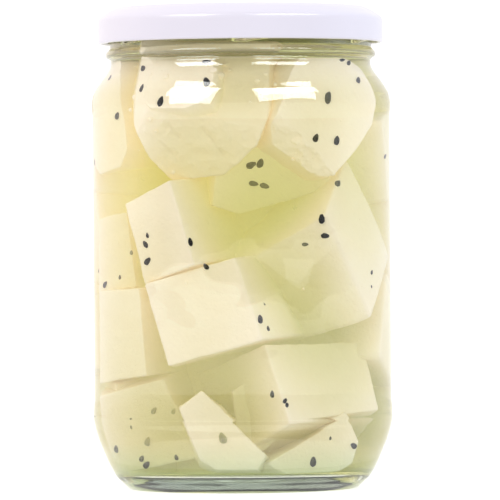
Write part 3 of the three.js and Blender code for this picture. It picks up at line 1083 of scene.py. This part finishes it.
under_top[under_top[:, 0] > slope_radius] -= np.array([slope_inset, 0])
under_top = under_top[under_top[:, 0] < under_radius]
under_skirt = straight((lid_radius - sheet, 138.8), (lid_radius - sheet, 135.4), 6)


def with_lugs(radius, z, t):
    """The curled edge pressed inwards over a short stretch at each of the six lugs."""
    half_step = math.pi / lug_count
    turn = (t - lug_turn + half_step) % (2 * half_step) - half_step
    press = np.clip(1.3 - np.abs(turn) / lug_half_width, 0, 1)
    inner_curl = (radius < lid_radius - curl_radius) & (z < lid_low + 1.6)
    return np.where(inner_curl & (radius > 40), radius - lug_reach * press, radius)


white_lacquer = new_material("white_lacquer")
lacquer_output, lacquer_shader = nodes_of[white_lacquer]
lacquer_dull = (0.81, 0.79, 0.88, 1)
lacquer_bright = (0.85, 0.83, 0.93, 1)
lacquer_patches = noise(white_lacquer, 60.0, 3.0)
lacquer_colour = blend(white_lacquer, lacquer_patches, lacquer_dull, lacquer_bright)
join(white_lacquer, lacquer_colour, lacquer_shader.inputs["Base Color"])
roughen(white_lacquer, noise(white_lacquer, 1400.0, 1.0), 0.06, 0.0002)
lacquer_shader.inputs["Roughness"].default_value = 0.32
lacquer_shader.inputs["Coat Weight"].default_value = 0.3
join(white_lacquer, lacquer_shader.outputs[0], lacquer_output.inputs["Surface"])

lid_profile = np.vstack([under_top, under_skirt, skirt[::-1], pressed_top[::-1]])
lid = make_piece("twist_off_lid", *lathe(lid_profile, glass_turns, with_lugs), white_lacquer)
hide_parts("lid")


# The studio: a white floor and surround, warm on the left and cool on the right, with two
# soft boxes above the front.
floor_half = 6.0
floor_drop = -0.00005
floor_points = [
    (-floor_half, -floor_half, floor_drop),
    (floor_half, -floor_half, floor_drop),
    (floor_half, floor_half, floor_drop),
    (-floor_half, floor_half, floor_drop),
]
floor_white = new_material("floor_white")
floor_output, floor_shader = nodes_of[floor_white]
floor_dull = (0.50, 0.50, 0.50, 1)
floor_bright = (0.54, 0.54, 0.54, 1)
floor_colour = blend(floor_white, noise(floor_white, 3.0, 1.0), floor_dull, floor_bright)
join(floor_white, floor_colour, floor_shader.inputs["Base Color"])
floor_shader.inputs["Roughness"].default_value = 0.9
floor_shader.inputs["Specular IOR Level"].default_value = 0.0
floor_shader.inputs["Emission Color"].default_value = (1, 1, 1, 1)
floor_path = add(floor_white, "ShaderNodeLightPath").outputs
floor_glow = ramp(floor_white, floor_path["Is Diffuse Ray"], 0.0, 1.0, 0.7, 0.31)
join(floor_white, floor_glow, floor_shader.inputs["Emission Strength"])
join(floor_white, floor_shader.outputs[0], floor_output.inputs["Surface"])
floor_mesh = bpy.data.meshes.new("floor")
floor_mesh.from_pydata(floor_points, [], [(0, 1, 2, 3)])
floor_mesh.materials.append(floor_white)
floor = bpy.data.objects.new("floor", floor_mesh)
bpy.context.scene.collection.objects.link(floor)

studio_warm = (1.05, 0.97, 0.94, 1)
studio_cool = (0.86, 0.90, 0.98, 1)
studio_dark = (0.13, 0.13, 0.13, 1)
studio_white = (1.05, 1.05, 1.05, 1)
world = bpy.data.worlds.new("studio")
world.use_nodes = True
world.node_tree.nodes.clear()
world_output = add(world, "ShaderNodeOutputWorld")
world_light = add(world, "ShaderNodeBackground")
world_place = add(world, "ShaderNodeTexCoord")
world_axes = add(world, "ShaderNodeSeparateXYZ")
join(world, world_place.outputs["Generated"], world_axes.inputs[0])
world_path = add(world, "ShaderNodeLightPath").outputs
world_side = ramp(world, world_axes.outputs["X"], -1.0, 1.0)
world_front = ramp(world, world_axes.outputs["Y"], -0.5, 0.1)
world_colour = blend(world, world_side, studio_warm, studio_cool)
world_mirrored = blend(world, world_front, studio_dark, world_colour)
world_seen = blend(world, world_path["Is Glossy Ray"], world_colour, world_mirrored)
world_backdrop = blend(world, world_path["Is Camera Ray"], world_seen, studio_white)
world_strength = ramp(world, world_axes.outputs["Z"], 0.0, 1.0, 1.26, 1.10)
join(world, world_backdrop, world_light.inputs["Color"])
join(world, world_strength, world_light.inputs["Strength"])
join(world, world_light.outputs[0], world_output.inputs[0])
bpy.context.scene.world = world

box_away = 1.25
shoulder_height = 0.115


def soft_box(name, facing, tilt, size, brightness):
    """A soft box that faces the jar's shoulder, from that turn round the front and that
    angle above the level. It shows as a reflection on the glass and the lid, and adds
    little to the even light."""
    lamp = bpy.data.lights.new(name, "AREA")
    lamp.shape = "RECTANGLE"
    lamp.size, lamp.size_y = size
    lamp.energy = brightness * math.pi * size[0] * size[1]
    box = bpy.data.objects.new(name, lamp)
    bpy.context.scene.collection.objects.link(box)
    toward = Vector(axes_of(facing, tilt)[:, 2])
    box.location = toward * box_away + Vector((0, 0, shoulder_height))
    box.rotation_euler = toward.to_track_quat("Z", "Y").to_euler()
    box.visible_diffuse = False


soft_box("soft_box_left", -43, 35, (0.78, 0.62), 8)
soft_box("soft_box_right", 40, 36, (1.05, 0.42), 9)

scene = bpy.context.scene
scene.view_settings.view_transform = "Standard"
scene.view_settings.look = "None"
scene.render.film_transparent = False
scene.cycles.max_bounces = 18
scene.cycles.glossy_bounces = 12
scene.cycles.transmission_bounces = 18
scene.cycles.transparent_max_bounces = 16
